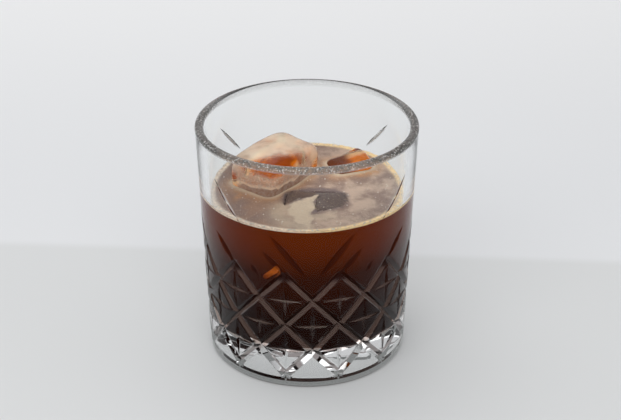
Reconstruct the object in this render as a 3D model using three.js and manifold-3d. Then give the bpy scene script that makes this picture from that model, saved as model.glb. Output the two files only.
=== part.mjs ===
// An iced espresso in a cut-glass tumbler: millimetres, +Z up.
// The origin is the centre of the foot, on the surface that the glass stands on.
// Angles round the glass start at the side that faces -Y and grow towards +X.
import * as THREE from 'three';
import { mergeVertices } from 'three/addons/utils/BufferGeometryUtils.js';
import Module from 'manifold-3d';

const wasm = await Module();
wasm.setup();

// The tumbler: a straight taper outside, a thick clear base, an even wall up to a rounded lip.
const TUMBLER = {
  height: 94,
  rimRadius: 42,
  baseRadius: 38.5,
  rimWall: 3.2,
  sides: 60,
  footBevel: 1.6,
  footBevelMiddle: [0.3, 0.4],
  standInside: 31,
  puntDepth: 0.8,
  floorHeight: 13.2,
  cavityRadius: 34.7,
  cavityCorner: 6,
  cornerSteps: 3,
  lipSteps: 4,
};

// The cut lattice: twelve columns of crossing grooves, each row half a column on from the last.
const LATTICE = {
  columns: 12,
  firstColumn: 18,
  firstRow: 5.8,
  rowPitch: 11,
  rows: 4,
  grooveWidth: 3.4,
  grooveDepth: 1.4,
  stepsPerRow: 2,
  runOut: 0.18,
};

// The four-point star cut into each diamond of the lattice.
const STAR = {
  width: 2.5,
  depth: 0.95,
  upright: 9.1,
  acrossShare: 0.83,
};

// The short upright cut under each lowest crossing.
const FOOT_CUT = { top: 9, bottom: 2.4, width: 1.8, depth: 0.7 };

// The fans above the lattice: two, on opposite sides, each mirrored about its own middle.
// Each cut runs from one point to another, as degrees from the middle and height.
const FANS = [3, 183];
const FAN_CUTS = [
  { from: [2.7, 49], to: [24, 67.3], width: 3, depth: 1.1 },
  { from: [39, 68], to: [57, 82], width: 1.8, depth: 0.5 },
  { from: [14, 49.8], to: [27.5, 59.3], width: 2.6, depth: 1 },
  { from: [44, 50], to: [58.5, 60.2], width: 2.6, depth: 1 },
  { from: [74, 50], to: [87, 59.7], width: 2.6, depth: 1 },
  { from: [29.7, 48.5], to: [34, 52.5], width: 1.8, depth: 0.7 },
];

// The drink and its thin foam, up to the level that shows through the wall.
const DRINK = { level: 67.6, foam: 1.2, sides: 60 };

// The clearance kept between two touching pieces.
const GAP = 0.3;

// How far a cut's skin stands out of the wall, and the share of its way used to find its direction.
const CUT_OVERSHOOT = 0.5;
const TANGENT_STEP = 0.01;

// Vertices closer than this are one vertex.
const WELD = 1e-4;

// Ice: a melted block has a size, a roundness, a narrower lower end and a few soft dents.
const ICE = {
  ice_left: {
    size: [34, 23, 28],
    place: [-12.6, 7.6, 65.6],
    turn: 53,
    lean: [3, 1.5],
    taper: 0.12,
    seed: 3,
  },
  ice_right: {
    size: [17, 14.5, 19],
    place: [18.1, 17.1, 61.5],
    turn: 22,
    lean: [6.5, -11.5],
    taper: 0.1,
    seed: 8,
  },
  ice_front: {
    size: [26, 17, 18],
    place: [4, -12.8, 59.2],
    turn: -5,
    lean: [1.5, 1],
    taper: 0.1,
    seed: 5,
  },
};
const ICE_CELLS = 5;
const ICE_SQUARENESS = 6;
const ICE_DENT = { depth: 0.5, waves: [2.1, 1.9, 1] };

const FINISH = {
  glass: { color: 0xdfe6e4, roughness: 0.04, metalness: 0, transparent: true, opacity: 0.35 },
  espresso: { color: 0x2e120a, roughness: 0.12, metalness: 0 },
  crema: { color: 0xa08f86, roughness: 0.6, metalness: 0 },
  ice: { color: 0xd8b793, roughness: 0.1, metalness: 0, transparent: true, opacity: 0.6 },
};

// The outer radius at a height, along the straight taper.
function outerRadius(z) {
  const { baseRadius, rimRadius, height } = TUMBLER;
  return baseRadius + (rimRadius - baseRadius) * (z / height);
}

// The inner radius at a height above the cavity's rounded corner.
function innerRadius(z) {
  const { cavityRadius, rimRadius, rimWall, height, floorHeight } = TUMBLER;
  const share = (z - floorHeight) / (height - floorHeight);
  return cavityRadius + (rimRadius - rimWall - cavityRadius) * share;
}

// The cavity's rounded lower corner, from the wall down to the floor, moved inwards by a clearance.
function cavityCorner(clearance) {
  const { floorHeight, cavityCorner: radius, cornerSteps } = TUMBLER;
  const wall = innerRadius(floorHeight + radius) - clearance;
  const points = [];
  for (let i = 0; i <= cornerSteps; i++) {
    const angle = (i / cornerSteps) * (Math.PI / 2);
    const r = wall - radius * (1 - Math.cos(angle));
    const z = floorHeight + clearance + radius * (1 - Math.sin(angle));
    points.push(new THREE.Vector2(r, z));
  }
  return points;
}

// Turns a profile of (radius, height) round the Z axis.
function turned(profile, sides) {
  return new THREE.LatheGeometry(profile, sides).rotateX(Math.PI / 2);
}

// The whole tumbler's profile, before it is cut: base, outside, lip and cavity.
function tumblerProfile() {
  const { height, rimRadius, rimWall, standInside, puntDepth, floorHeight, lipSteps } = TUMBLER;
  const { footBevel, footBevelMiddle } = TUMBLER;
  const foot = outerRadius(footBevel);
  const profile = [
    new THREE.Vector2(0, puntDepth),
    new THREE.Vector2(standInside - puntDepth, puntDepth),
    new THREE.Vector2(standInside, 0),
    new THREE.Vector2(foot - footBevel, 0),
    new THREE.Vector2(foot - footBevel * footBevelMiddle[0], footBevel * footBevelMiddle[1]),
    new THREE.Vector2(foot, footBevel),
  ];
  const lip = rimWall / 2;
  for (let i = 0; i <= lipSteps; i++) {
    const angle = (i / lipSteps) * Math.PI;
    const r = rimRadius - lip + lip * Math.cos(angle);
    profile.push(new THREE.Vector2(r, height - lip + lip * Math.sin(angle)));
  }
  profile.push(...cavityCorner(0));
  profile.push(new THREE.Vector2(0, floorHeight));
  return profile;
}

// A closed geometry as a solid that can be cut.
function solid(geometry) {
  const bare = geometry.index ? geometry.toNonIndexed() : geometry;
  const positions = new THREE.BufferGeometry();
  positions.setAttribute('position', bare.getAttribute('position'));
  const welded = mergeVertices(positions, WELD);
  return new wasm.Manifold(
    new wasm.Mesh({
      numProp: 3,
      vertProperties: welded.getAttribute('position').array,
      triVerts: new Uint32Array(welded.index.array),
    }),
  );
}

// A cut solid as a geometry that can be drawn.
function drawn(cutSolid) {
  const { vertProperties, triVerts } = cutSolid.getMesh();
  const geometry = new THREE.BufferGeometry();
  geometry.setAttribute('position', new THREE.BufferAttribute(vertProperties, 3));
  geometry.setIndex(new THREE.BufferAttribute(triVerts, 1));
  return geometry;
}

// The point of the outer wall at an angle and a height, moved out by a distance.
function onWall(degrees, z, out = 0) {
  const angle = THREE.MathUtils.degToRad(degrees);
  const r = outerRadius(z) + out;
  return new THREE.Vector3(r * Math.sin(angle), -r * Math.cos(angle), z);
}

// A closed skin over a row of three-cornered sections.
function skinned(sections) {
  const corners = 3;
  const positions = sections.flat().flatMap((point) => point.toArray());
  const index = [];
  for (let i = 0; i + 1 < sections.length; i++) {
    for (let j = 0; j < corners; j++) {
      const a = i * corners + j;
      const b = i * corners + ((j + 1) % corners);
      index.push(a, b + corners, b, a, a + corners, b + corners);
    }
  }
  const last = (sections.length - 1) * corners;
  index.push(0, 1, 2, last, last + 2, last + 1);
  const geometry = new THREE.BufferGeometry();
  geometry.setAttribute('position', new THREE.Float32BufferAttribute(positions, 3));
  geometry.setIndex(index);
  return geometry;
}

// A V-shaped cut along the wall between two (degrees, height) points, always of one steepness.
// Each place is a share of the way and the share of the full depth that the cut has there.
function wallCut(from, to, width, depth, places) {
  const sections = [];
  const at = (share) => onWall(
    THREE.MathUtils.lerp(from[0], to[0], share),
    THREE.MathUtils.lerp(from[1], to[1], share),
  );
  for (const [share, fullness] of places) {
    const point = at(share);
    const along = at(share + TANGENT_STEP).sub(at(share - TANGENT_STEP)).normalize();
    const out = new THREE.Vector3(point.x, point.y, 0).normalize();
    const side = new THREE.Vector3().crossVectors(along, out).normalize();
    const deep = depth * fullness;
    const half = (width / (2 * depth)) * (deep + CUT_OVERSHOOT);
    sections.push([
      point.clone().addScaledVector(out, -deep),
      point.clone().addScaledVector(out, CUT_OVERSHOOT).addScaledVector(side, half),
      point.clone().addScaledVector(out, CUT_OVERSHOOT).addScaledVector(side, -half),
    ]);
  }
  return solid(skinned(sections));
}

// A star's arm: deepest in the middle, running out evenly to both ends.
const STAR_PLACES = [[0, 0], [0.5, 1], [1, 0]];

// A leaf: deepest in the middle, with rounded sides.
const LEAF_PLACES = [0, 0.25, 0.5, 0.75, 1].map((share) => [share, Math.sin(Math.PI * share)]);

// A lattice groove: full all along, running out just past its last crossings.
function groovePlaces() {
  const { rows, stepsPerRow, runOut } = LATTICE;
  const end = runOut / (rows + 2 * runOut);
  const places = [[0, 0]];
  const steps = rows * stepsPerRow;
  for (let i = 0; i <= steps; i++) {
    places.push([THREE.MathUtils.lerp(end, 1 - end, i / steps), 1]);
  }
  places.push([1, 0]);
  return places;
}

// The angle of a lattice column: whole columns are even rows, half columns are odd rows.
function columnAngle(column) {
  return LATTICE.firstColumn + (column * 360) / LATTICE.columns;
}

// The crossing grooves, both ways round.
function latticeGrooves() {
  const { columns, firstRow, rowPitch, rows, grooveWidth, grooveDepth, runOut } = LATTICE;
  const halfColumn = 180 / columns;
  const low = firstRow - rowPitch * runOut;
  const high = firstRow + rowPitch * (rows + runOut);
  const places = groovePlaces();
  const cuts = [];
  for (let column = 0; column < columns; column++) {
    for (const way of [1, -1]) {
      const start = columnAngle(column) - way * halfColumn * runOut;
      const end = columnAngle(column) + way * halfColumn * (rows + runOut);
      cuts.push(wallCut([start, low], [end, high], grooveWidth, grooveDepth, places));
    }
  }
  return cuts;
}

// The star in each diamond: one upright cut and one across.
function starCuts() {
  const { columns, firstRow, rowPitch, rows } = LATTICE;
  const { width, depth, upright, acrossShare } = STAR;
  const halfColumn = 180 / columns;
  const across = halfColumn * acrossShare;
  const cuts = [];
  for (let row = 1; row < rows; row++) {
    const z = firstRow + row * rowPitch;
    for (let column = 0; column < columns; column++) {
      const angle = columnAngle(column) + (row % 2 ? 0 : halfColumn);
      cuts.push(wallCut([angle, z - upright], [angle, z + upright], width, depth, STAR_PLACES));
      cuts.push(wallCut([angle - across, z], [angle + across, z], width, depth, STAR_PLACES));
    }
  }
  return cuts;
}

// The short cuts over the foot.
function footCuts() {
  const { top, bottom, width, depth } = FOOT_CUT;
  const cuts = [];
  for (let column = 0; column < LATTICE.columns; column++) {
    const angle = columnAngle(column);
    cuts.push(wallCut([angle, bottom], [angle, top], width, depth, STAR_PLACES));
  }
  return cuts;
}

// The leaf-shaped cuts that fan out above the lattice.
function fanCuts() {
  const cuts = [];
  for (const middle of FANS) {
    for (const { from, to, width, depth } of FAN_CUTS) {
      for (const way of [1, -1]) {
        const start = [middle + way * from[0], from[1]];
        const end = [middle + way * to[0], to[1]];
        cuts.push(wallCut(start, end, width, depth, LEAF_PLACES));
      }
    }
  }
  return cuts;
}

// The tumbler with every cut taken out of its outside.
function cutTumbler() {
  const cuts = [...latticeGrooves(), ...starCuts(), ...footCuts(), ...fanCuts()];
  const allCuts = cuts.reduce((sum, cut) => sum.add(cut));
  return solid(turned(tumblerProfile(), TUMBLER.sides)).subtract(allCuts);
}

// A block of ice with rounded corners, a narrower lower end and soft dents; grown by a clearance.
function iceBlock({ size, place, turn, lean, taper, seed }, grown = 0) {
  const geometry = new THREE.BoxGeometry(2, 2, 2, ICE_CELLS, ICE_CELLS, ICE_CELLS);
  const position = geometry.getAttribute('position');
  const point = new THREE.Vector3();
  const { depth, waves } = ICE_DENT;
  for (let i = 0; i < position.count; i++) {
    point.fromBufferAttribute(position, i);
    const [x, y, z] = point.toArray().map((value) => Math.abs(value) ** ICE_SQUARENESS);
    point.multiplyScalar((x + y + z) ** (-1 / ICE_SQUARENESS));
    const narrow = 1 - (taper * (1 - point.z)) / 2;
    const across = Math.sin(seed + waves[0] * point.x);
    const up = Math.cos(2 * seed + waves[1] * point.y + waves[2] * point.z);
    const half = size.map((value) => value / 2 + grown - Math.abs(depth * across * up));
    point.set(point.x * half[0] * narrow, point.y * half[1] * narrow, point.z * half[2]);
    position.setXYZ(i, point.x, point.y, point.z);
  }
  const leanAngles = lean.map((value) => THREE.MathUtils.degToRad(value));
  geometry.rotateZ(THREE.MathUtils.degToRad(turn));
  geometry.rotateX(leanAngles[0]);
  geometry.rotateY(leanAngles[1]);
  geometry.translate(...place);
  return geometry;
}

// The space inside the tumbler between two heights, less a clearance to the wall and floor.
function fill(bottom, top) {
  const profile = [new THREE.Vector2(0, bottom)];
  if (bottom < TUMBLER.floorHeight + TUMBLER.cavityCorner) {
    profile.push(...cavityCorner(GAP).reverse());
  } else {
    profile.push(new THREE.Vector2(innerRadius(bottom) - GAP, bottom));
  }
  profile.push(new THREE.Vector2(innerRadius(top) - GAP, top));
  profile.push(new THREE.Vector2(0, top));
  return solid(turned(profile, DRINK.sides));
}

// A mesh with the name of its piece and its own material.
function piece(name, geometry, finish) {
  const mesh = new THREE.Mesh(geometry, new THREE.MeshStandardMaterial(finish));
  mesh.name = name;
  return mesh;
}

const root = new THREE.Group();
const contents = new THREE.Group();
root.add(contents);

root.add(piece('glass', drawn(cutTumbler()), FINISH.glass));

const iceRoom = Object.values(ICE).map((block) => solid(iceBlock(block, GAP)));
const allIceRoom = iceRoom.reduce((sum, room) => sum.add(room));
const foamBottom = DRINK.level - DRINK.foam;
const espresso = fill(TUMBLER.floorHeight + GAP, foamBottom - GAP).subtract(allIceRoom);
const crema = fill(foamBottom, DRINK.level).subtract(allIceRoom);
contents.add(piece('espresso', drawn(espresso), FINISH.espresso));
contents.add(piece('crema', drawn(crema), FINISH.crema));
for (const [name, block] of Object.entries(ICE)) {
  contents.add(piece(name, iceBlock(block), FINISH.ice));
}

export default root;
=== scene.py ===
"""An iced espresso in a cut-glass tumbler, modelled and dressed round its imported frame."""

import logging
import math
import random
from contextlib import contextmanager
from dataclasses import dataclass, field
from enum import Enum
from typing import Iterable, Iterator, Sequence

import bpy
from mathutils import Matrix, Vector, noise

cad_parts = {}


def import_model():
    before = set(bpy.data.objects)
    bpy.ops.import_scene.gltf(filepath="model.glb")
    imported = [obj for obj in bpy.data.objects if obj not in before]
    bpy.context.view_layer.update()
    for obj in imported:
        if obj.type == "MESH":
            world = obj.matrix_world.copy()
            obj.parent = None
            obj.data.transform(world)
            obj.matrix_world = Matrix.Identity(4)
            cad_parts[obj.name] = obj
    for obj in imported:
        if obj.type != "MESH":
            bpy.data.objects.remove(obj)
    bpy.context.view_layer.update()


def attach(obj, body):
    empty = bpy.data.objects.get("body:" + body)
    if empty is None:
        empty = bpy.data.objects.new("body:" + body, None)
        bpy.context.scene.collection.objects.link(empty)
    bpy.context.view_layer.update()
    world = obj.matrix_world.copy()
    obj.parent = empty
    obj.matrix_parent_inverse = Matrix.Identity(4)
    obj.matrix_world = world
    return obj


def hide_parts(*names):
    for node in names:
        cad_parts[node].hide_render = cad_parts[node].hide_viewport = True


LOG = logging.getLogger("iced_espresso")
MM = 0.001
ROOT_BODY = "root"
HUB = 4.0  # millimetres: radius of the innermost ring of a turned piece

Piece = bpy.types.Object
Material = bpy.types.Material
Socket = bpy.types.NodeSocket
Pair = tuple[float, float]
Triple = tuple[float, float, float]
Colour = Triple
Input = Socket | float | tuple


class RunOut(Enum):
    """How a cut fades towards its two ends."""

    GROOVE = "full all along, lifted out just at the ends"
    LEAF = "deepest in the middle, with rounded sides"
    STAR = "deepest in the middle, with straight sides"


@dataclass(frozen=True)
class WallForm:
    """The tumbler's straight tapers, in millimetres.

    Args:
        height: Foot to lip.
        base_radius: Outer radius at the foot.
        rim_radius: Outer radius at the lip.
        rim_wall: Thickness of the wall at the lip.
        floor: Height of the cavity's floor.
        cavity_radius: Inner radius of the taper, carried down to the floor.
        corner: Radius of the cavity's rounded lower corner.
    """

    height: float = 94.0
    base_radius: float = 38.5
    rim_radius: float = 42.0
    rim_wall: float = 3.2
    floor: float = 13.2
    cavity_radius: float = 34.7
    corner: float = 6.0

    def outer(self, z: float) -> float:
        """Outer radius at a height."""
        return self.base_radius + (self.rim_radius - self.base_radius) * z / self.height

    def inner(self, z: float) -> float:
        """Inner radius at a height, above the rounded corner."""
        share = (z - self.floor) / (self.height - self.floor)
        return self.cavity_radius + (self.rim_radius - self.rim_wall - self.cavity_radius) * share

    def point(self, degrees: float, z: float) -> Vector:
        """The point of the outer wall at an angle and a height; 0 degrees faces -Y."""
        angle = math.radians(degrees)
        r = self.outer(z)
        return Vector((r * math.sin(angle), -r * math.cos(angle), z))

    def corner_points(self, grown: float, steps: int) -> list[Pair]:
        """The cavity's corner from the floor up to the wall.

        Args:
            grown: How far the profile reaches into the glass.
            steps: Number of straight pieces in the quarter turn.

        Returns:
            (radius, height) pairs.
        """
        wall = self.inner(self.floor + self.corner) + grown
        points = []
        for i in range(steps + 1):
            angle = math.pi / 2 * i / steps
            r = wall - self.corner * (1 - math.sin(angle))
            z = self.floor - grown + self.corner * (1 - math.cos(angle))
            points.append((r, z))
        return points


WALL = WallForm()
DRINK_LEVEL = 66.7


def deselect() -> None:
    """Leaves nothing selected."""
    bpy.ops.object.select_all(action="DESELECT")


def pick(*objects: Piece) -> None:
    """Selects only these objects, with the first one active."""
    deselect()
    for obj in objects:
        obj.select_set(True)
    bpy.context.view_layer.objects.active = objects[0]


def named(name: str) -> Piece:
    """Names the object that an operator has just added, with its mesh."""
    obj = bpy.context.active_object
    obj.name = name
    obj.data.name = name
    return obj


@contextmanager
def editing() -> Iterator[None]:
    """Edit mode on the active mesh, with all of it selected."""
    bpy.ops.object.mode_set(mode="EDIT")
    bpy.ops.mesh.select_all(action="SELECT")
    yield
    bpy.ops.object.mode_set(mode="OBJECT")


def outward(obj: Piece) -> None:
    """Merges doubled vertices and points every face outwards."""
    pick(obj)
    with editing():
        bpy.ops.mesh.remove_doubles(threshold=0.002 * MM)
        bpy.ops.mesh.normals_make_consistent(inside=False)


def apply_modifier(obj: Piece, modifier: bpy.types.Modifier) -> None:
    """Turns a modifier's result into the piece's own mesh."""
    pick(obj)
    bpy.ops.object.modifier_apply(modifier=modifier.name)


def smooth(obj: Piece, degrees: float) -> None:
    """Shades a piece smooth, with edges steeper than an angle kept sharp."""
    pick(obj)
    bpy.ops.object.shade_smooth_by_angle(angle=math.radians(degrees))


def turned(name: str, profile: Sequence[Pair], sides: int) -> Piece:
    """Turns a closed profile round the axis, ring by ring.

    Args:
        name: The new object's name.
        profile: (radius, height) pairs in millimetres; the first and the last ring are capped.
        sides: Number of facets round the axis.

    Returns:
        The closed shell.
    """
    deselect()
    first_radius, first_height = profile[0]
    bpy.ops.mesh.primitive_circle_add(vertices=sides, radius=first_radius * MM, fill_type="NGON")
    obj = named(name)
    with editing():
        bpy.ops.transform.translate(value=(0, 0, first_height * MM))
        for (r0, z0), (r1, z1) in zip(profile, profile[1:]):
            bpy.ops.mesh.extrude_region_move(TRANSFORM_OT_translate={"value": (0, 0, (z1 - z0) * MM)})
            bpy.ops.transform.resize(value=(r1 / r0, r1 / r0, 1))
    outward(obj)
    return obj


def subtract(obj: Piece, cutters: Iterable[Piece]) -> None:
    """Cuts a group of solids out of a piece and removes them."""
    group = bpy.data.collections.new("cutters")
    bpy.context.scene.collection.children.link(group)
    tools = list(cutters)
    for tool in tools:
        group.objects.link(tool)
    cut = obj.modifiers.new("cut", "BOOLEAN")
    cut.operation = "DIFFERENCE"
    cut.operand_type = "COLLECTION"
    cut.collection = group
    cut.solver = "MANIFOLD"
    apply_modifier(obj, cut)
    for tool in tools:
        bpy.data.objects.remove(tool)
    bpy.data.collections.remove(group)


def seat(obj: Piece, slot: str, material: Material, *nodes: str) -> Piece:
    """Gives a finished piece its material, its body and the nodes that it stands for.

    Args:
        obj: The piece.
        slot: The record's material slot; not used.
        material: The finish that it gets.
        nodes: CAD nodes that it replaces.

    Returns:
        The same piece.
    """
    obj.data.materials.clear()
    obj.data.materials.append(material)
    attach(obj, ROOT_BODY)
    if nodes:
        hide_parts(*nodes)
    LOG.info("%s: %d vertices", obj.name, len(obj.data.vertices))
    return obj


@dataclass(frozen=True)
class Cut:
    """One cut on the wall, as the grinding wheel makes it.

    Args:
        start: (degrees, height) of one end.
        end: (degrees, height) of the other end.
        width: Full width at the surface.
        depth: Depth where it is full.
        run_out: How it fades.
        steps: Number of straight pieces along it.
    """

    start: Pair
    end: Pair
    width: float
    depth: float
    run_out: RunOut
    steps: int


@dataclass(frozen=True)
class Blade:
    """The wheel's section: a V with a worn edge and eased shoulders, in millimetres.

    Args:
        edge: Half width of the worn edge.
        ease_depth: Depth of the eased shoulders.
        ease_width: How far the shoulders reach out past the cut.
        overshoot: How far the blade stands out of the wall.
    """

    edge: float = 0.12
    ease_depth: float = 0.1
    ease_width: float = 0.3
    overshoot: float = 0.6

    def section(self, width: float, depth: float) -> list[Pair]:
        """(side, height) corners of the section, with its edge at full depth."""
        half = width / 2
        slope = half / depth
        shoulder = half - self.ease_depth * slope
        rim = half + self.ease_width
        top = rim + self.overshoot * 2
        worn = -depth + self.edge / slope * 0.5
        right = [(self.edge, worn), (shoulder, -self.ease_depth), (rim, 0.02), (top, self.overshoot)]
        left = [(-side, height) for side, height in reversed(right)]
        return [(0.0, -depth), *right, *left]

    def places(self, cut: Cut) -> list[Pair]:
        """(share of the way, fullness) at each section of a cut."""
        ends = 0.045
        shares = [i / cut.steps for i in range(cut.steps + 1)]
        if cut.run_out is RunOut.GROOVE:
            inner = [ends + (1 - 2 * ends) * share for share in shares]
            return [(0.0, 0.0), *((share, 1.0) for share in inner), (1.0, 0.0)]
        if cut.run_out is RunOut.LEAF:
            return [(share, math.sin(math.pi * share)) for share in shares]
        return [(share, 1 - abs(2 * share - 1)) for share in shares]

    def straight(self, name: str, cut: Cut) -> Piece:
        """Extrudes the blade along X, 1 long, lifted where the cut is shallow."""
        corners = self.section(cut.width, cut.depth)
        places = self.places(cut)
        deselect()
        bpy.ops.mesh.primitive_circle_add(vertices=len(corners), fill_type="NGON")
        obj = named(name)
        lift = cut.depth * (1 - places[0][1])
        for vertex, (side, height) in zip(obj.data.vertices, corners):
            vertex.co = (0, side, height + lift)
        with editing():
            for (s0, f0), (s1, f1) in zip(places, places[1:]):
                step = (s1 - s0, 0, -cut.depth * (f1 - f0))
                bpy.ops.mesh.extrude_region_move(TRANSFORM_OT_translate={"value": step})
        return obj

    def wrapped(self, pattern: Piece, cut: Cut) -> Piece:
        """Copies a straight blade and lays the copy along its cut on the wall.

        Args:
            pattern: The straight blade, as straight() makes it.
            cut: Where it goes.

        Returns:
            The blade in its place, in metres.
        """
        obj = pattern.copy()
        obj.data = pattern.data.copy()
        bpy.context.scene.collection.objects.link(obj)
        tiny = 0.01

        def at(share: float) -> Vector:
            degrees = cut.start[0] + (cut.end[0] - cut.start[0]) * share
            height = cut.start[1] + (cut.end[1] - cut.start[1]) * share
            return WALL.point(degrees, height)

        for vertex in obj.data.vertices:
            share, side_by, out_by = vertex.co
            point = at(share)
            along = (at(share + tiny) - at(share - tiny)).normalized()
            out = Vector((point.x, point.y, 0)).normalized()
            side = along.cross(out).normalized()
            vertex.co = (point + out * out_by + side * side_by) * MM
        outward(obj)
        return obj


@dataclass
class Tumbler:
    """The cut-glass tumbler: turned body, lattice, stars, foot cuts and fans."""

    sides: int = 240
    foot_bevel: float = 1.6
    stand_inside: float = 31.0
    punt_depth: float = 0.8
    ring_pitch: float = 3.7
    columns: int = 12
    first_column: float = 18.0
    first_row: float = 5.8
    row_pitch: float = 11.0
    rows: int = 4
    run_out: float = 0.18
    groove: Pair = (3.4, 1.4)
    star: Pair = (2.5, 0.95)
    star_upright: float = 9.1
    star_across: float = 0.83
    foot_cut: Pair = (1.8, 0.7)
    foot_cut_ends: Pair = (2.4, 9.0)
    fans: Pair = (3.0, 183.0)
    blade: Blade = field(default_factory=Blade)

    def body(self) -> Piece:
        """Turns the uncut tumbler: hollow foot, taper, rounded lip and cavity."""
        foot = WALL.outer(self.foot_bevel)
        profile = [(HUB, self.punt_depth)]
        profile.append((self.stand_inside - self.punt_depth * 2, self.punt_depth))
        profile.append((self.stand_inside, 0.0))
        for i in range(7):
            angle = math.pi / 2 * i / 6
            r = foot - self.foot_bevel * (1 - math.sin(angle))
            profile.append((r, self.foot_bevel * (1 - math.cos(angle))))
        levels = [self.ring_pitch * i for i in range(1, int(WALL.height / self.ring_pitch))]
        profile.extend((WALL.outer(z), z) for z in levels)
        lip = WALL.rim_wall / 2
        for i in range(17):
            angle = math.pi * i / 16
            r = WALL.rim_radius - lip + lip * math.cos(angle)
            profile.append((r, WALL.height - lip + lip * math.sin(angle)))
        start = WALL.floor + WALL.corner + 1
        profile.extend((WALL.inner(z), z) for z in reversed(levels) if z > start)
        profile.extend(reversed(WALL.corner_points(0.0, 10)))
        profile.append((HUB, WALL.floor))
        return turned("tumbler", profile, self.sides)

    def column(self, index: float) -> float:
        """The angle of a lattice column; half columns are the odd rows' own."""
        return self.first_column + index * 360 / self.columns

    def cuts(self) -> list[list[Cut]]:
        """All cuts, grouped so that each group has one blade."""
        half_column = 180 / self.columns
        low = self.first_row - self.row_pitch * self.run_out
        high = self.first_row + self.row_pitch * (self.rows + self.run_out)
        grooves: dict[int, list[Cut]] = {1: [], -1: []}
        foot: list[Cut] = []
        upright: list[Cut] = []
        across: list[Cut] = []
        for index in range(self.columns):
            angle = self.column(index)
            for way, group in grooves.items():
                start = (angle - way * half_column * self.run_out, low)
                end = (angle + way * half_column * (self.rows + self.run_out), high)
                group.append(Cut(start, end, *self.groove, RunOut.GROOVE, 26))
            bottom, top = self.foot_cut_ends
            foot.append(Cut((angle, bottom), (angle, top), *self.foot_cut, RunOut.STAR, 4))
            for row in range(1, self.rows):
                middle = angle + (0 if row % 2 else half_column)
                height = self.first_row + row * self.row_pitch
                reach = half_column * self.star_across
                rise = self.star_upright
                low_end, high_end = (middle, height - rise), (middle, height + rise)
                upright.append(Cut(low_end, high_end, *self.star, RunOut.STAR, 4))
                left_end, right_end = (middle - reach, height), (middle + reach, height)
                across.append(Cut(left_end, right_end, *self.star, RunOut.STAR, 8))
        return [grooves[1], grooves[-1], foot, upright, across, *self.fan_cuts()]

    def fan_cuts(self) -> list[list[Cut]]:
        """The leaf cuts above the lattice, mirrored about each fan's middle."""
        leaves = [  # (degrees, height) of both ends, width, depth
            ((2.7, 49.0), (24.0, 67.3), 3.0, 1.1),
            ((39.0, 68.0), (57.0, 82.0), 1.8, 0.5),
            ((14.0, 49.8), (27.5, 59.3), 2.6, 1.0),
            ((44.0, 50.0), (58.5, 60.2), 2.6, 1.0),
            ((74.0, 50.0), (87.0, 59.7), 2.6, 1.0),
            ((29.7, 48.5), (34.0, 52.5), 1.8, 0.7),
        ]
        groups = []
        for (a0, z0), (a1, z1), width, depth in leaves:
            group = []
            for middle in self.fans:
                for way in (1, -1):
                    start = (middle + way * a0, z0)
                    end = (middle + way * a1, z1)
                    group.append(Cut(start, end, width, depth, RunOut.LEAF, 16))
            groups.append(group)
        return groups

    def build(self, material: Material) -> Piece:
        """Turns the body, cuts it and seats it.

        Args:
            material: The glass.

        Returns:
            The finished tumbler.
        """
        body = self.body()
        blades = []
        for group in self.cuts():
            pattern = self.blade.straight("blade", group[0])
            blades.extend(self.blade.wrapped(pattern, cut) for cut in group)
            bpy.data.objects.remove(pattern)
        subtract(body, blades)
        smooth(body, 24)
        even = body.modifiers.new("even", "WEIGHTED_NORMAL")
        even.keep_sharp = True
        even.weight = 80
        apply_modifier(body, even)
        return seat(body, "clear_glass", material, "glass")


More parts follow.
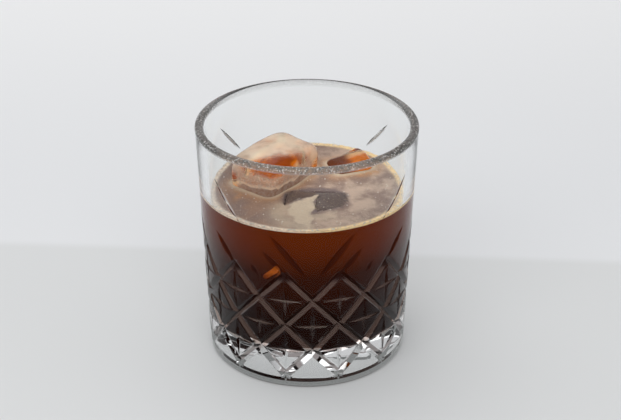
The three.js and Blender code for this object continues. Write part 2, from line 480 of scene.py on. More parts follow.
@dataclass(frozen=True)
class IceForm:
    """One melted block of ice, in millimetres and degrees.

    Args:
        name: The CAD node that it stands for, or a new name for a sunken block.
        size: Length, width and height.
        place: The block's centre.
        turn: Turn about Z.
        lean: Lean about X, then about Y.
        taper: How much narrower the lower end is.
        seed: Phase of the dents.
    """

    name: str
    size: Triple
    place: Triple
    turn: float
    lean: Pair
    taper: float
    seed: float

    squareness = 6
    dent = 0.5
    waves = (2.1, 1.9, 1.0)

    def melted(self, unit: Vector, grown: float) -> Vector:
        """Maps a point of a cube from -1 to 1 onto the melted block, before it is placed."""
        total = sum(abs(value) ** self.squareness for value in unit)
        round_point = unit * total ** (-1 / self.squareness)
        narrow = 1 - self.taper * (1 - round_point.z) / 2
        across = math.sin(self.seed + self.waves[0] * round_point.x)
        up = math.cos(2 * self.seed + self.waves[1] * round_point.y + self.waves[2] * round_point.z)
        loss = abs(self.dent * across * up)
        half = [value / 2 + grown - loss for value in self.size]
        return Vector((
            round_point.x * half[0] * narrow,
            round_point.y * half[1] * narrow,
            round_point.z * half[2],
        ))

    def outside(self, point: Vector) -> float:
        """About how far a point lies outside the block; negative inside."""
        x, y, z = self.matrix().inverted() @ point
        half_x, half_y, half_z = (value / 2 for value in self.size)
        narrow = 1 - self.taper * (1 - z / half_z) / 2
        unit = (x / half_x / narrow, y / half_y / narrow, z / half_z)
        reach = sum(abs(value) ** self.squareness for value in unit) ** (1 / self.squareness)
        return (reach - 1) * min(half_x, half_y)

    def matrix(self) -> Matrix:
        """The block's place: turned about Z, leaned about X and then about Y, and moved."""
        turn = Matrix.Rotation(math.radians(self.turn), 4, "Z")
        lean_x = Matrix.Rotation(math.radians(self.lean[0]), 4, "X")
        lean_y = Matrix.Rotation(math.radians(self.lean[1]), 4, "Y")
        return Matrix.Translation(self.place) @ lean_y @ lean_x @ turn

    def block(self, name: str, grown: float, cells: int, ripple: float) -> Piece:
        """Builds the block from a divided cube.

        Args:
            name: The new object's name.
            grown: How far its surface is moved out.
            cells: Cells along each side.
            ripple: Height of the small melt ripples.

        Returns:
            The block in its place, in metres.
        """
        deselect()
        bpy.ops.mesh.primitive_cube_add(size=2)
        obj = named(name)
        with editing():
            bpy.ops.mesh.subdivide(number_cuts=cells - 1)
        place = self.matrix()
        for vertex in obj.data.vertices:
            point = self.melted(vertex.co, grown)
            if ripple:
                wave = noise.fractal(point / 6 + Vector((self.seed, 0, 0)), 1.0, 2.0, 3)
                point += point.normalized() * wave * ripple
            vertex.co = place @ point * MM
        outward(obj)
        return obj


ICE_SHOWN = (
    IceForm("ice_left", (34, 23, 28), (-12.6, 7.6, 65.6), 53, (3, 1.5), 0.12, 3),
    IceForm("ice_right", (17, 14.5, 19), (18.1, 17.1, 61.5), 22, (6.5, -11.5), 0.1, 8),
    IceForm("ice_front", (26, 17, 18), (4, -12.8, 59.2), -5, (1.5, 1), 0.1, 5),
)


ICE_SUNKEN = IceForm("ice_sunken", (13, 3.4, 8), (-9.0, -31.9, 45.8), 18, (20, 46), 0.1, 2)


@dataclass(frozen=True)
class Patch:
    """A patch or a line on the drink's surface, in millimetres.

    Args:
        corners: (x, y) of its corners, seen from above.
        soft: Width over which it fades.
        filled: Whether it is an area; otherwise it is a line.
    """

    corners: tuple[Pair, ...]
    soft: float
    filled: bool = True

    def share(self, x: float, y: float) -> float:
        """How much of the patch a point has: 1 inside or on the line, 0 outside."""
        ends = self.corners[1:] + self.corners[:1] if self.filled else self.corners[1:]
        nearest = 1e9
        inside = False
        for (x0, y0), (x1, y1) in zip(self.corners, ends):
            dx, dy = x1 - x0, y1 - y0
            along = min(1.0, max(0.0, ((x - x0) * dx + (y - y0) * dy) / (dx * dx + dy * dy)))
            nearest = min(nearest, math.hypot(x - x0 - along * dx, y - y0 - along * dy))
            if (y0 > y) != (y1 > y) and x < x0 + dx * (y - y0) / dy:
                inside = not inside
        if not self.filled:
            return math.exp(-(nearest / self.soft) ** 2)
        away = -nearest if inside else nearest
        share = min(1.0, max(0.0, 0.5 - away / self.soft))
        return share * share * (3 - 2 * share)


BARE_ICE = Patch((
    (-10.3, -11.6), (-8.7, -5.7), (-2.7, -2.9), (3.8, -2.3), (10.7, -3.9), (15.1, -7.4), (15.8, -12.4),
    (13.0, -18.9), (8.6, -20.5), (3.4, -22.5), (2.4, -21.3), (3.0, -10.7), (-2.6, -14.0), (-6.3, -16.5),
    (-8.5, -16.9),
), 2.8)
CREAM_PATCHES = (
    (Patch((
        (3.2, -9.9), (-1.1, -13.2), (-5.9, -16.1), (-7.4, -20.5), (-5.4, -26.9), (-1.4, -30.8),
        (0.8, -34.7), (1.9, -26.1), (2.6, -18.1),
    ), 1.4), 0.9),
    (Patch(((3.2, -9.9), (2.4, -19.0), (1.7, -27.0), (0.8, -34.7)), 0.5, False), 0.9),
    (Patch(((-9.6, -18.1), (-10.3, -26.1), (-6.1, -30.6), (-0.6, -33.7)), 4.0, False), 0.55),
    (Patch(((2.6, -23.4), (10.8, -21.0), (11.0, -26.0), (6.6, -27.5), (2.6, -28.0)), 1.8), 0.5),
)
# Painted orange light on the drink's surface beside the ice.
ORANGE_LIGHT_PATCHES = (
    (Patch(((-25.9, -9.9), (-24.3, -3.2), (-22.2, 2.0)), 1.6, False), 0.7),
    (Patch(((-23.3, -3.5), (-17.4, 2.4), (-7.4, 5.0)), 3.0, False), 0.4),
    (Patch(((16.0, 9.5), (21.4, 8.5), (27.1, 11.3)), 2.2, False), 0.9),
)


@dataclass
class Drink:
    """The coffee and its foam, whose surface climbs the glass, most of all at the front."""

    level: float = DRINK_LEVEL
    film: float = 0.6
    reach: float = 0.15
    lift: float = 0.03
    sides: int = 300
    rings: int = 70
    climb: Pair = (0.2, 0.8)
    climb_width: float = 1.5
    top_rings: tuple[float, ...] = (0.0, 0.4, 0.9, 1.5, 2.2, 3.0, 4.0, 5.5, 8.0)
    clearance: float = 0.25
    under_film: float = 0.3
    over_ice: float = 0.07
    bare_ice: float = 0.7
    bubble_count: int = 260

    def surface(self, x: float, y: float) -> float:
        """Height of the coffee under the film, in millimetres."""
        edge = WALL.inner(self.level)
        r = math.hypot(x, y)
        front = 0.5 - 0.5 * y / max(r, 1e-6)
        low, high = self.climb
        climb = low + (high - low) * front ** 0.8
        climb *= 1 + 0.1 * noise.noise(Vector((x, y, 0)) / 6)
        return self.level + climb * math.exp(-max(edge - r, 0) / self.climb_width)

    def raise_top(self, obj: Piece, start: float, added: float, ragged: float) -> None:
        """Lays a level face onto the drink's surface.

        Args:
            obj: The piece, still level.
            start: Height above which vertices are moved.
            added: How far the new face lies above the coffee's surface.
            ragged: Height of the unevenness at the glass.
        """
        edge = WALL.inner(self.level)
        for vertex in obj.data.vertices:
            x, y, z = vertex.co / MM
            if z < start:
                continue
            r = math.hypot(x, y)
            near = math.exp(-max(edge - r, 0) / self.climb_width)
            uneven = noise.fractal(Vector((x, y, 7)) / 1.3, 1.0, 2.0, 3) * ragged * near
            swell = 0.1 * noise.noise(Vector((x, y, 3)) / 7)
            vertex.co.z = (self.surface(x, y) + added + uneven + swell) * MM

    def disc(self, name: str, bottom: float) -> Piece:
        """A level disc with many rings on both faces, from a height up to 1 mm more."""
        edge = WALL.inner(self.level) + self.reach + 0.03
        radii = [edge * (1 - i / self.rings) + 0.6 * i / self.rings for i in range(self.rings + 1)]
        profile = [(r, bottom) for r in reversed(radii)] + [(r, bottom + 1) for r in radii]
        return turned(name, profile, self.sides)

    def coffee(self, material: Material) -> Piece:
        """The coffee, with hollows for the ice.

        It reaches just into the wall, and stops just short of the floor, where real glass mirrors
        everything that comes in as flatly as through the foot.
        """
        off = WALL.corner_points(-self.lift, 16)
        into = WALL.corner_points(self.reach, 16)
        turn = len(off) // 2
        profile = [(HUB, WALL.floor + self.lift), *off[:turn], *into[turn:]]
        edge = WALL.inner(self.level) + self.reach
        profile.extend((edge - inwards, self.level) for inwards in self.top_rings)
        profile.append((HUB, self.level))
        obj = turned("espresso_body", profile, self.sides)
        self.raise_top(obj, self.level - 0.01, 0.0, 0.0)
        subtract(obj, [form.block("ice_room", -self.clearance, 20, 0.0) for form in ICE_SHOWN])
        smooth(obj, 30)
        return seat(obj, "coffee", material, "espresso")

    def crema(self, material: Material, front: Piece) -> Piece:
        """The thin foam, draped over the front ice except where that is bare.

        Args:
            material: The foam's finish.
            front: The finished block of ice at the front.

        Returns:
            The film, with an attribute for each of its tones.
        """
        bottom = self.level + 10
        halfway = bottom + 0.5
        obj = self.disc("crema_film", bottom)
        tops = {vertex.index for vertex in obj.data.vertices if vertex.co.z > halfway * MM}
        self.raise_top(obj, halfway, self.film, 0.25)
        for vertex in obj.data.vertices:
            x, y, _ = vertex.co / MM
            coffee = self.surface(x, y)
            if vertex.index not in tops:
                vertex.co.z = (coffee - self.under_film) * MM
                continue
            hit, place, _, _ = front.ray_cast((vertex.co.x, vertex.co.y, 0.1), (0, 0, -1))
            if not hit:
                continue
            ragged = 1.5 * noise.fractal(Vector((x, y, 11)) / 4, 1.0, 2.0, 3)
            if BARE_ICE.share(x + ragged, y + ragged) > 0.85:
                vertex.co.z = max(place.z - self.bare_ice * MM, (coffee - 0.2) * MM)
            else:
                vertex.co.z = max(vertex.co.z, place.z + self.over_ice * MM)
        rooms = [form.block("ice_room", -self.clearance, 20, 0.0) for form in ICE_SHOWN[:2]]
        subtract(obj, rooms)
        self.mark_tones(obj)
        smooth(obj, 50)
        return seat(obj, "foam", material, "crema")

    def sunken(self, form: IceForm, material: Material) -> Piece:
        """A block of ice under the surface, ground off where it reaches just into the wall."""
        obj = form.block(form.name, 0.0, 16, 0.3)
        low, high, into = 20.0, 60.0, 0.2
        sides = [(WALL.inner(low) + into, low), (WALL.inner(high) + into, high)]
        outer = turned("trim", [(HUB, low), *sides, (HUB, high)], 180)
        trim = obj.modifiers.new("trim", "BOOLEAN")
        trim.operation = "INTERSECT"
        trim.object = outer
        trim.solver = "MANIFOLD"
        apply_modifier(obj, trim)
        bpy.data.objects.remove(outer)
        smooth(obj, 40)
        return seat(obj, "ice", material)

    def bubbles(self, material: Material, film: Piece) -> Piece:
        """Loose bubbles on the film: most at the glass, some round the front ice."""
        draw = random.Random(11)
        beads = []
        while len(beads) < self.bubble_count:
            ring = draw.random() < 0.6
            angle = draw.uniform(0, 2 * math.pi)
            r = draw.uniform(36.4, 37.5) if ring else 34 * math.sqrt(draw.random())
            x, y = r * math.cos(angle), r * math.sin(angle)
            if min(form.outside(Vector((x, y, self.level))) for form in ICE_SHOWN[:2]) < 1:
                continue
            size = draw.uniform(0.2, 0.42) if ring else draw.uniform(0.12, 0.28)
            hit, place, _, _ = film.ray_cast((x * MM, y * MM, 0.1), (0, 0, -1))
            if not hit:
                continue
            bpy.ops.mesh.primitive_ico_sphere_add(subdivisions=2, radius=size * MM, location=place)
            beads.append(bpy.context.active_object)
        pick(*beads)
        bpy.ops.object.join()
        obj = named("foam_bubbles")
        bpy.ops.object.transform_apply(location=True, rotation=True, scale=True)
        smooth(obj, 60)
        return seat(obj, "foam", material)

    def mark_tones(self, obj: Piece) -> None:
        """Writes how creamy the film is, how much painted orange light it has and how dark it is, at
        each vertex.
        """
        names = ("cream", "orange_light", "dark")
        marks = [obj.data.attributes.new(name, "FLOAT", "POINT") for name in names]
        left, right, _ = ICE_SHOWN
        for vertex in obj.data.vertices:
            x, y, z = vertex.co / MM
            place = Vector((x, y, z))
            swirl = noise.fractal(Vector((x * 0.7, y, 1)) / 5, 1.0, 2.0, 4)
            fine = noise.fractal(Vector((x, y, 5)) / 1.5, 1.0, 2.0, 3)
            bent_x, bent_y = x + 1.2 * swirl + 0.5 * fine, y + 1.2 * swirl - 0.5 * fine
            beside = max(min(left.outside(place), right.outside(place)) + 0.5 * swirl, 0)
            cream = math.exp(-(beside / 1.1) ** 2)
            for patch, most in CREAM_PATCHES:
                cream = max(cream, most * patch.share(bent_x, bent_y))
            # Painted orange light beside the blocks.
            orange_light = 0.7 * math.exp(-(beside / 3.2) ** 2)
            for patch, most in ORANGE_LIGHT_PATCHES:
                orange_light = max(orange_light, most * patch.share(bent_x, bent_y))
            dark = BARE_ICE.share(bent_x, bent_y) * (1 - cream)
            for mark, value in zip(marks, (cream, orange_light, dark)):
                mark.data[vertex.index].value = min(1.0, max(0.0, value))


class Look:
    """A node material in the making, with a short call for each kind of node that it needs."""

    def __init__(self, name: str) -> None:
        """Starts with one Principled shader and the Object coordinates."""
        self.material = bpy.data.materials.new(name)
        self.material.use_nodes = True
        self.tree = self.material.node_tree
        self.place = self.node("ShaderNodeTexCoord", {}).outputs["Object"]
        self.x, self.y, self.height = self.axes(self.place)

    def fill(self, node: bpy.types.Node, inputs: dict[str | int, Input]) -> None:
        """Links a node's inputs to sockets, or sets them to constants."""
        for name, value in inputs.items():
            if isinstance(value, Socket):
                self.tree.links.new(value, node.inputs[name])
            else:
                node.inputs[name].default_value = value

    def node(self, kind: str, inputs: dict[str | int, Input]) -> bpy.types.Node:
        """Adds a node with its inputs."""
        node = self.tree.nodes.new(kind)
        self.fill(node, inputs)
        return node

    def finish(self, inputs: dict[str | int, Input]) -> Material:
        """Gives the shader inputs and returns the material."""
        self.fill(self.tree.nodes["Principled BSDF"], inputs)
        return self.material

    def axes(self, vector: Socket) -> tuple[Socket, Socket, Socket]:
        """Splits a vector into X, Y and Z."""
        outputs = self.node("ShaderNodeSeparateXYZ", {"Vector": vector}).outputs
        return outputs["X"], outputs["Y"], outputs["Z"]

    def speckle(self, scale: float, detail: float, rough: float = 0.5) -> Socket:
        """A noise value over Object coordinates, with its scale in cells per metre."""
        inputs = {"Vector": self.place, "Scale": scale, "Detail": detail, "Roughness": rough}
        return self.node("ShaderNodeTexNoise", inputs).outputs["Fac"]

    def ramp(self, value: Socket, stops: Sequence[tuple[float, Colour]]) -> Socket:
        """Colours a value by (place, colour) stops."""
        node = self.node("ShaderNodeValToRGB", {"Fac": value})
        elements = node.color_ramp.elements
        while len(elements) < len(stops):
            elements.new(0.5)
        for element, (place, colour) in zip(elements, stops):
            element.position = place
            element.color = (*colour, 1)
        return node.outputs["Color"]

    def span(self, value: Socket, limits: Pair, low: float = 0.0, high: float = 1.0) -> Socket:
        """Takes a value smoothly from low to high between two limits."""
        names = ("Value", "From Min", "From Max", "To Min", "To Max")
        node = self.node("ShaderNodeMapRange", dict(zip(names, (value, *limits, low, high))))
        node.interpolation_type = "SMOOTHSTEP"
        return node.outputs["Result"]

    def band(self, place: Socket, limits: Pair, low: float = 0.0, high: float = 1.0) -> Socket:
        """Does what span does, between two places in millimetres."""
        return self.span(place, (limits[0] * MM, limits[1] * MM), low, high)

    def fade(self, share: Socket, low: float, high: float) -> Socket:
        """Takes a share from 0 to 1 smoothly from low to high."""
        return self.span(share, (0.0, 1.0), low, high)

    def mix(self, share: Socket, first: Socket | Colour, second: Socket | Colour) -> Socket:
        """Mixes two colours."""
        node = self.node("ShaderNodeMix", {})
        node.data_type = "RGBA"
        ends = [(*end, 1) if isinstance(end, tuple) else end for end in (first, second)]
        self.fill(node, {"Factor": share, "A": ends[0], "B": ends[1]})
        return node.outputs["Result"]

    def math(self, operation: str, *values: Input) -> Socket:
        """A math node."""
        node = self.node("ShaderNodeMath", dict(enumerate(values)))
        node.operation = operation
        return node.outputs["Value"]

    def product(self, *values: Socket) -> Socket:
        """Multiplies values."""
        result = values[0]
        for value in values[1:]:
            result = self.math("MULTIPLY", result, value)
        return result

    def mark(self, name: str) -> Socket:
        """The value of a mesh attribute."""
        node = self.node("ShaderNodeAttribute", {})
        node.attribute_name = name
        return node.outputs["Fac"]

    def facing_up(self) -> Socket:
        """How far the surface faces up: the height of its normal."""
        return self.axes(self.node("ShaderNodeNewGeometry", {}).outputs["Normal"])[2]

    def radius(self) -> Socket:
        """Distance from the glass's axis, in metres."""
        flat = self.node("ShaderNodeVectorMath", {0: self.place, 1: (1, 1, 0)})
        flat.operation = "MULTIPLY"
        length = self.node("ShaderNodeVectorMath", {0: flat.outputs["Vector"]})
        length.operation = "LENGTH"
        return length.outputs["Value"]

    def bump(self, value: Socket, distance: float, strength: float) -> Socket:
        """A normal bent by a height value."""
        inputs = {"Height": value, "Distance": distance, "Strength": strength}
        return self.node("ShaderNodeBump", inputs).outputs["Normal"]


@dataclass(frozen=True)
class ClearGlass:
    """Clear cut glass, with painted highlights and painted shade in the cuts and a painted grey
    reflection on its rough lip.

    Places are in millimetres, and facings are heights of the normal.
    """

    ior: float = 1.5
    specular: Colour = (0.12, 0.12, 0.12)
    tint: Colour = (0.975, 0.985, 0.98)
    # Painted reflection on the lip: its grey, darker at the back and lighter and warmer at the front;
    # the bright specks are painted glints.
    lip: Colour = (0.19, 0.185, 0.175)
    lip_low: Colour = (0.08, 0.075, 0.07)
    lip_front: Colour = (0.4, 0.3, 0.24)
    lip_glint: Colour = (0.85, 0.84, 0.82)
    # Painted highlight: the pinkish tint on cuts that face up. Painted shade: the dark tint on cuts
    # that face down.
    cut_highlight: Colour = (0.85, 0.6, 0.5)
    shaded: Colour = (0.22, 0.18, 0.17)
    lip_heights: Pair = (91.2, 92.6)
    lip_fades: Pair = (4.0, 32.0)
    lip_at_back: float = 0.25
    lip_clear: float = 0.45
    lip_rough: float = 0.3
    front: Pair = (-38.0, -22.0)
    back: Pair = (0.0, 10.0)
    lit_facing: Pair = (-0.1, 0.2)
    shaded_facing: Pair = (-0.32, -0.1)
    over_foot: Pair = (14.0, 18.0)
    fan: Pair = (45.0, 49.0)
    fan_lit: float = 0.35
    fan_shaded: float = 0.7
    # Shares of the whitish veil on the cuts, a painted highlight, below and above the drink, and how
    # much more it has at the back.
    highlight_veil: float = 0.2
    highlight_veil_above: float = 0.45
    highlight_veil_back: float = 1.9
    cut_depths: Pair = (0.1, 0.3)
    wall_depths: Pair = (1.7, 1.9)
    under_lip: Pair = (89.5, 90.5)

    def build(self) -> Material:
        """Builds the glass."""
        look = Look("clear_glass")
        # The lip's painted grey reflection is strongest at the front and fades towards the back.
        near = look.band(look.y, self.lip_fades, 1.0, self.lip_at_back)
        lip = look.product(look.band(look.height, self.lip_heights), near)
        in_cut = self.in_cut(look)
        up = look.facing_up()
        cut = look.product(in_cut, look.band(look.height, self.over_foot))
        fan = look.band(look.height, self.fan)
        # Painted highlight on cuts that face up, tinted below the drink; painted shade on cuts below
        # the drink that face down or belong to the fan.
        lit = look.product(look.span(up, self.lit_facing), look.fade(fan, 1.0, self.fan_lit))
        shaded = look.span(up, self.shaded_facing, 1.0, 0.0)
        shaded = look.math("MAXIMUM", shaded, look.fade(fan, 0.0, self.fan_shaded))
        wetted = look.band(look.height, (DRINK_LEVEL - 1, DRINK_LEVEL), 1.0, 0.0)
        shaded = look.product(in_cut, shaded, wetted)
        # Above the drink the cuts get a stronger whitish veil, a painted highlight, stronger still at
        # the back.
        start = (DRINK_LEVEL + 0.5, DRINK_LEVEL + 2)
        above = look.band(look.height, start, 0.0, self.highlight_veil_above)
        above = look.product(above, look.band(look.y, self.back, 1.0, self.highlight_veil_back))
        highlight_share = look.math("MAXIMUM", look.fade(lit, 0.0, self.highlight_veil), above)
        lit_cut_share = look.product(cut, lit, look.span(above, (0.0, 0.1), 1.0, 0.0))
        colour = look.mix(lip, self.tint, self.lip_reflection(look))
        colour = look.mix(lit_cut_share, colour, self.cut_highlight)
        clear = look.fade(look.product(cut, highlight_share), 1.0, 0.0)
        return look.finish({
            "Base Color": look.mix(shaded, colour, self.shaded),
            "Transmission Weight": look.product(clear, look.fade(lip, 1.0, self.lip_clear)),
            "Roughness": look.fade(lip, 0.0, self.lip_rough),
            "IOR": self.ior,
            "Specular Tint": (*self.specular, 1),
        })

    def lip_reflection(self, look: Look) -> Socket:
        """The lip's uneven grey, a painted reflection that is warmer and lighter at the front and
        darker at the back, with wet specks as painted glints.
        """
        uneven = look.span(look.speckle(900, 3.0), (0.35, 0.6))
        specks = look.span(look.speckle(1500, 2.0), (0.54, 0.64))
        front = look.band(look.y, self.front, 1.0, 0.0)
        dark = look.mix(front, self.lip_low, self.lip)
        light = look.mix(front, self.lip, self.lip_front)
        return look.mix(specks, look.mix(uneven, dark, light), self.lip_glint)

    def in_cut(self, look: Look) -> Socket:
        """1 where the outer face lies deeper than the uncut wall."""
        slope = (WALL.rim_radius - WALL.base_radius) / WALL.height
        taper = look.math("MULTIPLY_ADD", look.height, -slope, look.radius())
        base = WALL.base_radius
        cut, wall = self.cut_depths, self.wall_depths
        below = look.band(taper, (base - cut[1], base - cut[0]), 1.0, 0.0)
        outer = look.band(taper, (base - wall[1], base - wall[0]))
        return look.product(below, outer, look.band(look.height, self.under_lip, 1.0, 0.0))


@dataclass(frozen=True)
class ClearIce:
    """Wet ice, clear below and palely clouded where it stands out of the drink.

    With a film, foam clings to its front: mauve at the foot, then a pale crest, then specked tan.
    Heights are in millimetres above the drink's level.
    """

    filmed: float = 0.0
    ior: float = 1.31
    specular: Colour = (0.4, 0.4, 0.4)
    rough: float = 0.04
    tint: Colour = (0.97, 0.92, 0.82)
    pale: Colour = (1.0, 0.87, 0.66)
    # Painted shade: the dark brown rim where the ice turns away from the view.
    rim_shade: Colour = (0.3, 0.16, 0.09)
    cling: Colour = (0.6, 0.34, 0.22)
    crest: Colour = (0.9, 0.72, 0.54)
    foamy: Colour = (0.36, 0.23, 0.17)
    clouded: Pair = (4.0, 9.0)
    foamy_to: Pair = (5.3, 5.9)
    crest_to: Pair = (6.3, 7.5)
    film_to: Pair = (8.5, 13.0)
    wave: float = 0.005
    front: Pair = (5.0, 9.0)
    rear: Pair = (1.0, 8.0)
    cloud_clear: float = 0.4
    film_clear: float = 0.08
    edge_facing: Pair = (0.72, 0.95)

    def build(self) -> Material:
        """Builds the ice."""
        look = Look("filmed_ice" if self.filmed else "ice")
        out = look.band(look.height, self.over(self.clouded))
        leaning = look.math("MULTIPLY_ADD", look.x, -0.35, look.y)
        climbed = look.math("MULTIPLY_ADD", look.speckle(150, 3.0), self.wave, look.height)
        low = look.band(climbed, self.over(self.film_to), 1.0, 0.0)
        ragged = look.span(look.speckle(700, 4.0), (0.38, 0.62), 0.7, 1.0)
        film = look.product(low, look.band(leaning, self.front, self.filmed, 0.0), ragged)
        colour = look.mix(film, look.mix(out, self.tint, self.pale), self.film(look, climbed))
        # Painted shade: a dark brown rim where the ice's surface turns away from the view.
        edge = look.span(look.node("ShaderNodeLayerWeight", {}).outputs["Facing"], self.edge_facing)
        cloud = look.span(look.speckle(130, 3.0), (0.35, 0.65), 0.6, 1.0)
        cloud = look.product(out, cloud, look.band(leaning, self.rear))
        clear = look.fade(cloud, 1.0, self.cloud_clear)
        return look.finish({
            "Base Color": look.mix(edge, colour, self.rim_shade),
            "Transmission Weight": look.product(clear, look.fade(film, 1.0, self.film_clear)),
            "Normal": look.bump(look.speckle(240, 2.0), 0.0005, 0.15),
            "IOR": self.ior,
            "Specular Tint": (*self.specular, 1),
            "Roughness": self.rough,
        })

    def film(self, look: Look, climbed: Socket) -> Socket:
        """The film's colour by its wavy height."""
        foot = self.over(self.foamy_to)
        below = look.band(climbed, self.over(self.crest_to), 1.0, 0.0)
        crest = look.product(look.band(climbed, foot), below)
        specks = look.span(look.speckle(1600, 2.0), (0.5, 0.66), 0.0, 0.8)
        tan = look.mix(look.math("MAXIMUM", crest, specks), self.cling, self.crest)
        return look.mix(look.band(climbed, foot, 1.0, 0.0), tan, self.foamy)

    def over(self, limits: Pair) -> Pair:
        """Heights above the drink's level as heights above the foot."""
        return limits[0] + DRINK_LEVEL, limits[1] + DRINK_LEVEL


@dataclass(frozen=True)
class SunkenIce:
    """Ice that touches the glass under the surface, with painted amber light: it glows, though it is no
    lamp, brightest towards its top.
    """

    # Painted light: the emitted amber and its dim lower end.
    glow: Colour = (0.62, 0.14, 0.012)
    dim: Colour = (0.12, 0.016, 0.002)
    heights: Pair = (44.5, 51.0)
    strength: float = 0.15

    def build(self) -> Material:
        """Builds the sunken ice."""
        look = Look("sunken_ice")
        # Painted light: amber emission, brighter towards the block's top.
        cloud = look.span(look.speckle(300, 3.0), (0.35, 0.65), 0.5, 1.0)
        rise = look.product(look.band(look.height, self.heights), cloud)
        colour = look.mix(rise, self.dim, self.glow)
        return look.finish({
            "Base Color": colour,
            "Emission Color": colour,
            "Emission Strength": self.strength,
            "Specular IOR Level": 0.0,
            "Roughness": 0.5,
        })


@dataclass(frozen=True)
class Coffee:
    """Black coffee with painted light: near black where deep and lighter red brown towards the surface
    at the glass, painted amber light in the ice's hollows, and a faint glow all over.

    Places are in millimetres; stops are (share of the height, colour).
    """

    # Painted light: the colours lighten from deep to under_foam, and the hollow colours paint light
    # through thin coffee.
    deep: Colour = (0.007, 0.0012, 0.0005)
    middle: Colour = (0.025, 0.0037, 0.0009)
    under_foam: Colour = (0.093, 0.0125, 0.0006)
    rust: Colour = (0.3, 0.06, 0.002)
    amber: Colour = (0.68, 0.22, 0.003)
    umber: Colour = (0.16, 0.04, 0.004)
    tan: Colour = (0.78, 0.6, 0.36)
    front_dark: Colour = (0.05, 0.03, 0.026)
    hollow_depth: float = 18.0
    hollow_radius: Pair = (33.5, 34.5)
    small_block: Pair = (7.5, 8.5)
    small_block_end: Pair = (14.0, 19.0)
    front_block: Pair = (-5.0, -2.0)
    front_block_left: Pair = (-10.5, -8.5)
    glow: Pair = (0.4, 0.5)

    def build(self) -> Material:
        """Builds the coffee."""
        look = Look("coffee")
        # Painted light: the coffee at the glass is lighter towards its surface.
        rise = look.band(look.height, (WALL.floor + 0.8, DRINK_LEVEL + 2))
        stops = [(0.0, self.deep), (0.15, self.deep), (0.66, self.middle), (0.97, self.under_foam)]
        wall = look.ramp(rise, stops)
        radius = look.radius()
        inside = look.band(radius, self.hollow_radius, 1.0, 0.0)
        colour = look.mix(inside, wall, self.hollow(look))
        return look.finish({
            "Base Color": colour,
            "Emission Color": colour,
            # Painted light: the coffee emits a little everywhere, more at the glass than in the
            # hollows.
            "Emission Strength": look.band(radius, self.hollow_radius, *self.glow),
            "Specular IOR Level": 0.0,
            "Roughness": 0.6,
        })

    def hollow(self, look: Look) -> Socket:
        """The hollows' painted amber light by depth, with painted shade in swirled spots, browner at
        the small block's end and darker at the front block.
        """
        depth = look.band(look.height, (DRINK_LEVEL - self.hollow_depth, DRINK_LEVEL))
        amber = self.amber
        # Painted light: amber where the ice lies under thin coffee, near black deep down.
        stops = [(0.0, self.deep), (0.22, self.rust), (0.45, amber), (0.93, amber), (1.0, self.tan)]
        # Painted shade: rust spots in a swirl.
        swirl = look.span(look.speckle(75, 2.0), (0.48, 0.6), 0.0, 0.85)
        swirl = look.product(swirl, look.span(depth, (0.1, 0.3)))
        hollow = look.mix(swirl, look.ramp(depth, stops), self.rust)
        end = look.band(look.x, self.small_block_end, 1.0, 0.0)
        end = look.product(end, look.band(look.x, self.small_block))
        hollow = look.mix(end, hollow, self.umber)
        forward = look.band(look.y, self.front_block, 1.0, 0.0)
        front = look.product(forward, look.band(look.x, self.front_block_left))
        return look.mix(front, hollow, self.front_dark)


@dataclass(frozen=True)
class Foam:
    """Thin mauve-brown foam with creamy patches, painted orange light beside the ice, and a pale
    speckled ring at the glass that also glows as painted light.
    """

    left: Colour = (0.31, 0.165, 0.105)
    right: Colour = (0.64, 0.47, 0.36)
    shade: Colour = (0.25, 0.155, 0.125)
    bare: Colour = (0.21, 0.145, 0.135)
    cream: Colour = (0.72, 0.58, 0.42)
    # Painted light: the orange beside the ice.
    orange_light: Colour = (0.62, 0.3, 0.12)
    ring_left: Colour = (0.85, 0.71, 0.56)
    ring_right: Colour = (0.95, 0.7, 0.36)
    across: Pair = (-30.0, 20.0)
    ring_across: Pair = (-12.0, 12.0)
    ring_radius: Pair = (34.6, 36.4)
    ring_glow: float = 0.22

    def build(self) -> Material:
        """Builds the foam."""
        look = Look("foam")
        colour = look.mix(look.band(look.x, self.across), self.left, self.right)
        patches = look.span(look.speckle(90, 5.0, 0.6), (0.38, 0.62), 0.85, 0.0)
        colour = look.mix(patches, colour, self.shade)
        grain = look.speckle(1300, 3.0)
        # The orange patches are painted light; the cream patches are the foam's own.
        for mark, least, tone in (("orange_light", 0.45, self.orange_light), ("cream", 0.8, self.cream)):
            share = look.product(look.mark(mark), look.span(grain, (0.3, 0.6), least, 1.0))
            colour = look.mix(share, colour, tone)
        colour = look.mix(look.mark("dark"), colour, self.bare)
        bubbles = look.span(look.speckle(1800, 2.0), (0.62, 0.7), 0.0, 0.7)
        colour = look.mix(bubbles, colour, self.cream)
        ragged = look.span(look.speckle(1100, 3.0), (0.4, 0.6), 0.6, 1.0)
        edge = look.product(look.band(look.radius(), self.ring_radius), ragged)
        ring = look.mix(look.band(look.x, self.ring_across), self.ring_left, self.ring_right)
        return look.finish({
            "Base Color": look.mix(edge, colour, ring),
            # Painted light: the ring at the glass emits a little.
            "Emission Color": look.mix(edge, (0.0, 0.0, 0.0), ring),
            "Emission Strength": self.ring_glow,
            "Normal": look.bump(grain, 0.0003, 0.25),
            "Specular IOR Level": 0.3,
            "Roughness": 0.45,
        })


@dataclass(frozen=True)
class Bead:
    """Pale wet bubbles."""

    skin: Colour = (0.95, 0.88, 0.76)
    dimmed: float = 0.75

    def build(self) -> Material:
        """Builds the bubbles' finish."""
        look = Look("bubble")
        tone = look.span(look.speckle(500, 2.0), (0.4, 0.6))
        dim = tuple(value * self.dimmed for value in self.skin)
        return look.finish({"Base Color": look.mix(tone, dim, self.skin), "Roughness": 0.15})


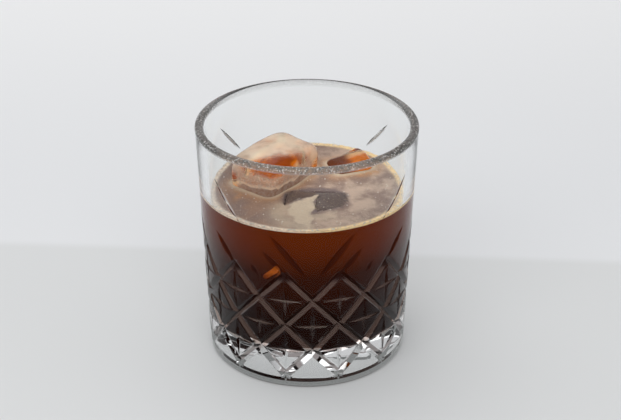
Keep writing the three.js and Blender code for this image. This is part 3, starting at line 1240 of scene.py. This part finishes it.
@dataclass(frozen=True)
class Paper:
    """Pale matt paper under the glass, brighter beyond a line behind it and far away, with a faint glow
    all over that is painted light.

    The line crosses X = 0 at meeting millimetres and leans by lean.
    """

    near: Colour = (0.6, 0.61, 0.61)
    beyond: Colour = (0.66, 0.67, 0.68)
    farthest: Colour = (0.78, 0.785, 0.785)
    meeting: float = 67.6
    lean: float = -0.063
    fade: float = 4.0
    far: Pair = (100.0, 500.0)
    # Painted light: the paper's faint emission.
    glow: float = 0.18

    def build(self) -> Material:
        """Builds the paper."""
        look = Look("table_paper")
        across = look.math("MULTIPLY_ADD", look.x, -self.lean, look.y)
        line = (self.meeting - self.fade, self.meeting + self.fade)
        colour = look.mix(look.band(across, line), self.near, self.beyond)
        colour = look.mix(look.band(look.y, self.far), colour, self.farthest)
        return look.finish({
            "Base Color": colour,
            # Painted light: the paper emits a little, which brightens the glass's foot and softens its
            # shadow.
            "Emission Color": colour,
            "Emission Strength": self.glow,
            "Normal": look.bump(look.speckle(900, 3.0), 0.0001, 0.1),
            "Roughness": 0.85,
        })


@dataclass(frozen=True)
class Studio:
    """Camera, table, soft sky and soft lights; the camera is in millimetres, the lights in metres."""

    target: Triple = (1.34, 0.0, 56.29)
    elevation: float = 27.45
    distance: float = 579.2
    focal: float = 87.075
    sensor: float = 36.0
    table_size: float = 6.0
    sky_front: tuple[float, Colour] = (0.05, (0.62, 0.62, 0.63))
    sky_back: tuple[float, Colour] = (0.45, (0.95, 0.95, 0.97))
    sky_strength: float = 0.62
    lights_aim: Triple = (0.0, 0.0, 0.05)

    def stand(self, name: str, data: bpy.types.ID, place: Vector, aim: Vector) -> Piece:
        """Puts a camera or a light at a place, turned to what it looks at, in metres."""
        obj = bpy.data.objects.new(name, data)
        bpy.context.scene.collection.objects.link(obj)
        obj.location = place
        obj.rotation_mode = "QUATERNION"
        obj.rotation_quaternion = (aim - place).to_track_quat("-Z", "Y")
        return obj

    def camera(self) -> None:
        """Places the camera at the photo's viewing angle."""
        rise = math.radians(self.elevation)
        back = Vector((0, -math.cos(rise), math.sin(rise)))
        data = bpy.data.cameras.new("camera")
        data.lens = self.focal
        data.sensor_width = self.sensor
        data.clip_start = 0.01
        target = Vector(self.target) * MM
        place = target + back * self.distance * MM
        bpy.context.scene.camera = self.stand("camera", data, place, target)

    def table(self) -> None:
        """Lays the paper that the glass stands on and that reaches far behind it."""
        deselect()
        bpy.ops.mesh.primitive_plane_add(size=self.table_size)
        table = named("table")
        table.data.materials.append(Paper().build())

    def light(self, name: str, place: Triple, size: Pair, power: float) -> None:
        """Adds one rectangular soft light that faces the drink."""
        data = bpy.data.lights.new(name, "AREA")
        data.shape = "RECTANGLE"
        data.size, data.size_y = size
        data.energy = power
        self.stand(name, data, Vector(place), Vector(self.lights_aim))

    def sky(self) -> None:
        """A soft sky that is bright behind and at the sides and dim behind the camera."""
        world = bpy.data.worlds.new("studio")
        bpy.context.scene.world = world
        world.use_nodes = True
        tree = world.node_tree
        where = tree.nodes.new("ShaderNodeTexCoord")
        axes = tree.nodes.new("ShaderNodeSeparateXYZ")
        ramp = tree.nodes.new("ShaderNodeValToRGB")
        half = tree.nodes.new("ShaderNodeMath")
        half.operation = "MULTIPLY_ADD"
        half.inputs[1].default_value = 0.5
        half.inputs[2].default_value = 0.5
        tree.links.new(where.outputs["Generated"], axes.inputs["Vector"])
        tree.links.new(axes.outputs["Y"], half.inputs[0])
        tree.links.new(half.outputs["Value"], ramp.inputs["Fac"])
        for element, (place, colour) in zip(ramp.color_ramp.elements, (self.sky_front, self.sky_back)):
            element.position = place
            element.color = (*colour, 1)
        background = tree.nodes["Background"]
        tree.links.new(ramp.outputs["Color"], background.inputs["Color"])
        background.inputs["Strength"].default_value = self.sky_strength

    def build(self) -> None:
        """Sets the whole studio up."""
        self.camera()
        self.table()
        self.sky()
        self.light("key", (-0.15, -0.8, 0.85), (1.5, 0.45), 6)
        self.light("fill", (-0.3, 0.5, 1.2), (1.2, 1.2), 4)
        scene = bpy.context.scene
        scene.view_settings.view_transform = "Standard"
        scene.cycles.transmission_bounces = 20
        scene.cycles.max_bounces = 24
        LOG.info("studio is set")


def shown_ice() -> dict[str, Piece]:
    """Builds the blocks that the photo shows, with foam clinging to the left one.

    Returns:
        The blocks by the names of their CAD nodes.
    """
    clear, filmed = ClearIce().build(), ClearIce(filmed=1.0).build()
    blocks = {}
    for form in ICE_SHOWN:
        block = form.block(form.name + "_block", 0.0, 24, 0.12)
        smooth(block, 60)
        finish = filmed if form.name == "ice_left" else clear
        blocks[form.name] = seat(block, "ice", finish, form.name)
    return blocks


def main() -> None:
    """Builds the drink in order and reports each piece."""
    logging.basicConfig(level=logging.INFO, format="%(message)s")
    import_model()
    Studio().build()
    Tumbler().build(ClearGlass().build())
    drink = Drink()
    drink.coffee(Coffee().build())
    blocks = shown_ice()
    film = drink.crema(Foam().build(), blocks["ice_front"])
    drink.bubbles(Bead().build(), film)
    drink.sunken(ICE_SUNKEN, SunkenIce().build())


if __name__ == "__main__":
    main()
